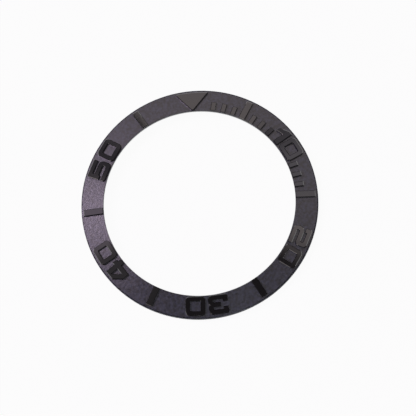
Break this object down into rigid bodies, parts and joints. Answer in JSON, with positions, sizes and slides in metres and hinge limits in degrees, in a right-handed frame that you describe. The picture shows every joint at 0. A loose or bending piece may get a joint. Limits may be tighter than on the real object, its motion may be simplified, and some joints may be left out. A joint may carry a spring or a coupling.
{
  "type": "watch bezel insert",
  "caption": "Coned ceramic minute ring for a rotating watch bezel, with raised polished numerals, bars, ticks and a triangle, and an adhesive ring under its flat base.",
  "frame": {"origin": "ring's centre on the underside of the adhesive ring, the plane that sits on the bezel", "axes": "+Z along the ring's axis towards the wearer, +Y to the triangle at minute 0, +X to minute 15"},
  "size_m": [0.038, 0.038, 0.0019],
  "materials": {
    "matt_ceramic": "fine satin, dark grey with a faint purple cast",
    "polished_ceramic": "polished black",
    "adhesive": "matt double-sided film"
  },
  "bodies": {
    "root": {"insert_ring": "matt_ceramic", "adhesive_ring": "adhesive", "mark_triangle_00": "polished_ceramic", "mark_bar_05": "polished_ceramic", "mark_bar_15": "polished_ceramic", "mark_bar_25": "polished_ceramic", "mark_bar_35": "polished_ceramic", "mark_bar_45": "polished_ceramic", "mark_bar_55": "polished_ceramic", "mark_tick_02": "polished_ceramic", "mark_tick_03": "polished_ceramic", "mark_tick_04": "polished_ceramic", "mark_tick_06": "polished_ceramic", "mark_tick_07": "polished_ceramic", "mark_tick_08": "polished_ceramic", "mark_tick_12": "polished_ceramic", "mark_tick_13": "polished_ceramic", "mark_tick_14": "polished_ceramic", "numeral_10_digit_1": "polished_ceramic", "numeral_10_digit_0": "polished_ceramic", "numeral_20_digit_2": "polished_ceramic", "numeral_20_digit_0": "polished_ceramic", "numeral_30_digit_3": "polished_ceramic", "numeral_30_digit_0": "polished_ceramic", "numeral_40_digit_4": "polished_ceramic", "numeral_40_digit_0": "polished_ceramic", "numeral_50_digit_5": "polished_ceramic", "numeral_50_digit_0": "polished_ceramic"}
  },
  "joints": []
}
